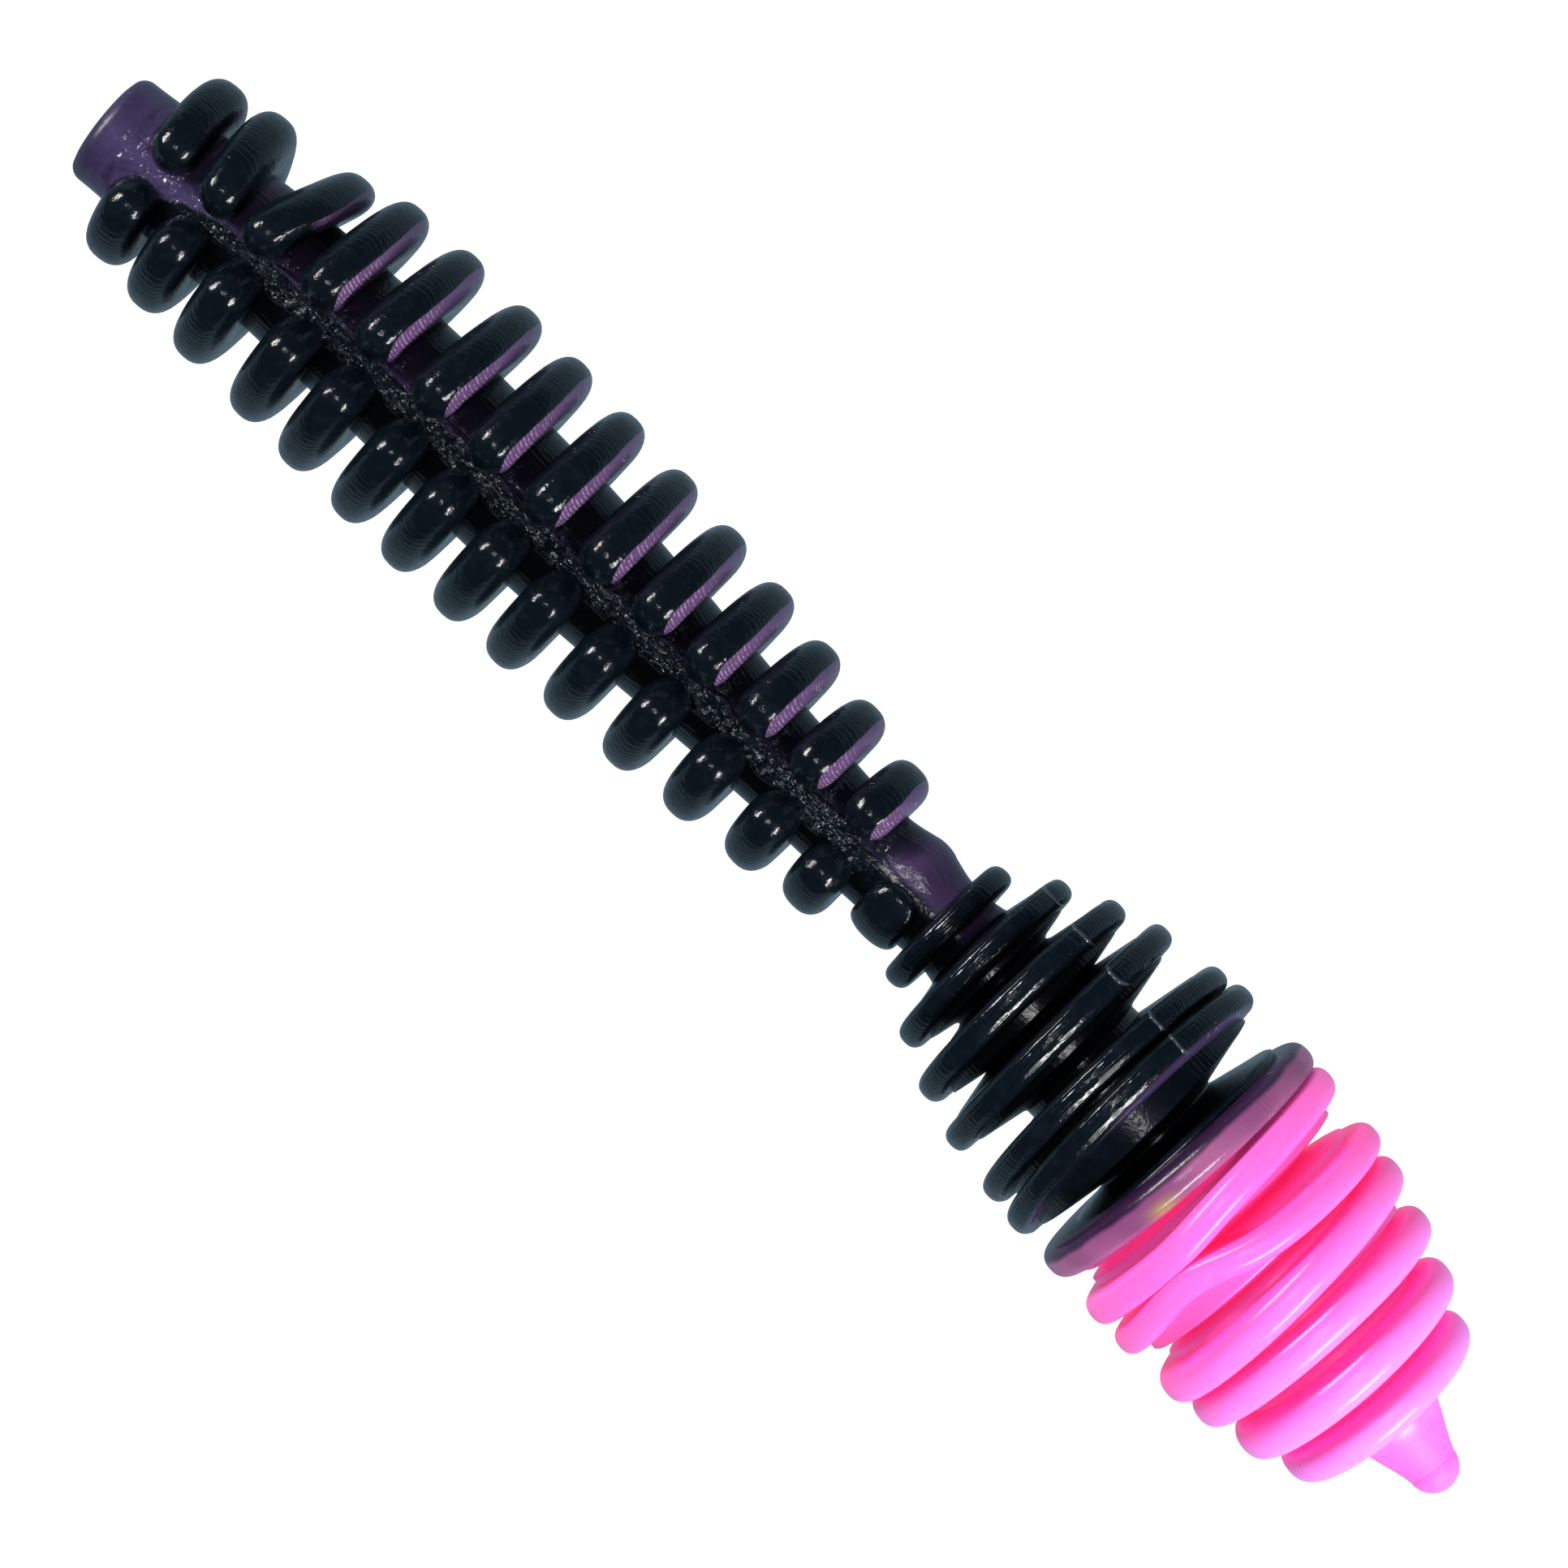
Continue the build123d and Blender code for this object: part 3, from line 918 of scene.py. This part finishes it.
def disc_blank(name, outer, half):
    """Round fin: the outline of its rim and sloping flanks, spun once round the core."""
    inner = DISC_BORE
    deselect()
    bpy.ops.mesh.primitive_circle_add(vertices=RIM_POINTS, radius=1.0, fill_type="NOTHING")
    piece = new_piece(name)

    def section(co):
        if co.y > 0:
            height = outer - half + round_power(co.y, RIM_POWER) * half
            return Vector((round_power(co.x, RIM_POWER) * half, 0, height))
        drop = -co.y * (outer - half - inner)
        side = math.copysign(half + 0.08 * min(drop, 1.0), co.x) if abs(co.x) > 0.02 else 0.0
        return Vector((side, 0, outer - half - drop))

    shape(piece, section)
    edit(piece)
    bpy.ops.mesh.select_all(action="SELECT")
    bpy.ops.mesh.spin(steps=DISC_STEPS, angle=TAU, center=(0, 0, 0), axis=(1, 0, 0))
    close_up(0.003)
    return piece


def disc_set(index, co, outer):
    """How far a disc leans along the body at one point. The first two pink discs bow into each other."""
    _, side, top = DISCS_SET[index]
    up = max(co.z, 0.0) / outer
    lean = side * co.y / outer + top * up
    if index == 8:
        lean += 0.18 * bell(co.y, -1.8, 2.0) * up
    if index == 9:
        lean += (0.22 * co.y / outer - 0.72 * bell(co.y, -1.9, 2.3)) * up
    return lean


def make_discs(black, joint, pink):
    for index, (x, _, outer) in DISCS.items():
        node = disc_node(index)
        half = RIM_HALVES[index]
        piece = disc_blank(node.replace("disc", "fin"), outer, half)
        store(piece, "flank", lambda co: co.x / half)
        store(piece, "number", lambda co: index)
        if index > BLACK_DISCS:
            # The pink material paints its groove shade by this
            store(piece, "outward", lambda co: smooth((math.hypot(co.y, co.z) - (outer - 1.5)) / 1.4))
        shape(piece, lambda co: Vector((co.x + x + disc_set(index, co, outer), co.y, co.z)))
        keep_lay(piece)
        link = body_number(node)
        shape(piece, lambda co: on_link(link, co))
        if index < BLACK_DISCS:
            material, slot = black, "black_plastic"
        elif index == BLACK_DISCS:
            material, slot = joint, "translucent_purple_plastic"
        else:
            material, slot = pink, "pink_plastic"
        finish_piece(piece, material, slot)
        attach(piece, BODIES[link])
        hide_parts(node)


# ---------------------------------------------------------------- floor, light and camera

STAGE_SIZE = 3.0
STAGE_MIDDLE = 0.0325
STAGE_GREY = (0.05, 0.05, 0.05, 1)
FLOOR_DROP = 50 * MM
CARD_DROP = 2 * MM


def stage_sheet(name, height, glow, strength):
    deselect()
    bpy.ops.mesh.primitive_plane_add(size=STAGE_SIZE, location=(STAGE_MIDDLE, 0, height))
    sheet = new_piece(name)
    inputs = {"Base Color": STAGE_GREY, "Roughness": 1.0, "Emission Color": glow, "Emission Strength": strength}
    sheet.data.materials.append(Paint(name).surface(inputs))
    return sheet


def make_floor():
    """A pale floor, low enough for the worm to bend down to. Gloss looks past it, to a dim blue card below."""
    low, _ = cad_box
    floor = stage_sheet("floor", low[2] - FLOOR_DROP, (1.0, 1.0, 1.0, 1), 0.97)
    floor.visible_glossy = False
    stage_sheet("blue_card", low[2] - FLOOR_DROP - CARD_DROP, (0.48, 0.78, 1.0, 1), 0.36)


def area_light(name, place, target, size, energy):
    light = bpy.data.lights.new(name, "AREA")
    light.shape = "RECTANGLE"
    light.size, light.size_y = size
    light.energy = energy
    holder = bpy.data.objects.new(name, light)
    bpy.context.scene.collection.objects.link(holder)
    back = (Vector(place) - target).normalized()
    side = Vector((0, 1, 0)).cross(back).normalized()
    turn = Matrix((side, back.cross(side), back)).transposed().to_4x4()
    holder.matrix_world = Matrix.Translation(place) @ turn


def make_lights(target):
    for name, sign in (("nose_strip", -1), ("tail_strip", 1)):
        place = target + Vector((sign * 0.26, 0, 0.17))
        area_light(name, place, target, (0.03, 0.2), 1.3)
    area_light("top_fill", target + Vector((0.0, 0.06, 0.5)), target, (0.06, 0.06), 0.35)
    world = bpy.data.worlds.new("studio")
    bpy.context.scene.world = world
    world.use_nodes = True
    world.node_tree.nodes["Background"].inputs["Color"].default_value = (0.93, 0.95, 1.0, 1)
    world.node_tree.nodes["Background"].inputs["Strength"].default_value = 0.03


CAMERA_TILT = math.radians(10)
CAMERA_ROLL = math.radians(-44.96)
CAMERA_DISTANCE = 0.24
FRAME_WIDTH = 0.05294
AIM_RIGHT, AIM_UP = -0.00032, -0.00004


def make_camera(target):
    """Nearly straight down on the back, a little from the purple side, with the nose at the upper left."""
    data = bpy.data.cameras.new("camera")
    camera = bpy.data.objects.new("camera", data)
    bpy.context.scene.collection.objects.link(camera)
    back = Vector((0, math.sin(CAMERA_TILT), math.cos(CAMERA_TILT)))
    along = Vector((1, 0, 0))
    across = back.cross(along)
    right = along * math.cos(CAMERA_ROLL) - across * math.sin(CAMERA_ROLL)
    up = back.cross(right)
    turn = Matrix((right, up, back)).transposed().to_4x4()
    aim = target + right * AIM_RIGHT + up * AIM_UP
    camera.matrix_world = Matrix.Translation(aim + back * CAMERA_DISTANCE) @ turn
    data.sensor_width = 36
    data.lens = 36 * CAMERA_DISTANCE / FRAME_WIDTH
    data.clip_start = 0.01
    bpy.context.scene.camera = camera
    bpy.context.scene.view_settings.view_transform = "Standard"


# ---------------------------------------------------------------- the whole worm

core = core_plastic()
plain_rib, striped_rib = rib_plastic(False), rib_plastic(True)
disc_black, disc_joint, pink = black_disc_plastic(), joint_disc_plastic(), pink_plastic()

make_core(core, pink)
make_ribs(plain_rib, striped_rib)
make_bumps(core, plain_rib)
make_discs(disc_black, disc_joint, pink)

middle = Vector([(low + high) / 2 for low, high in zip(*cad_box)])
make_floor()
make_lights(middle)
make_camera(middle)
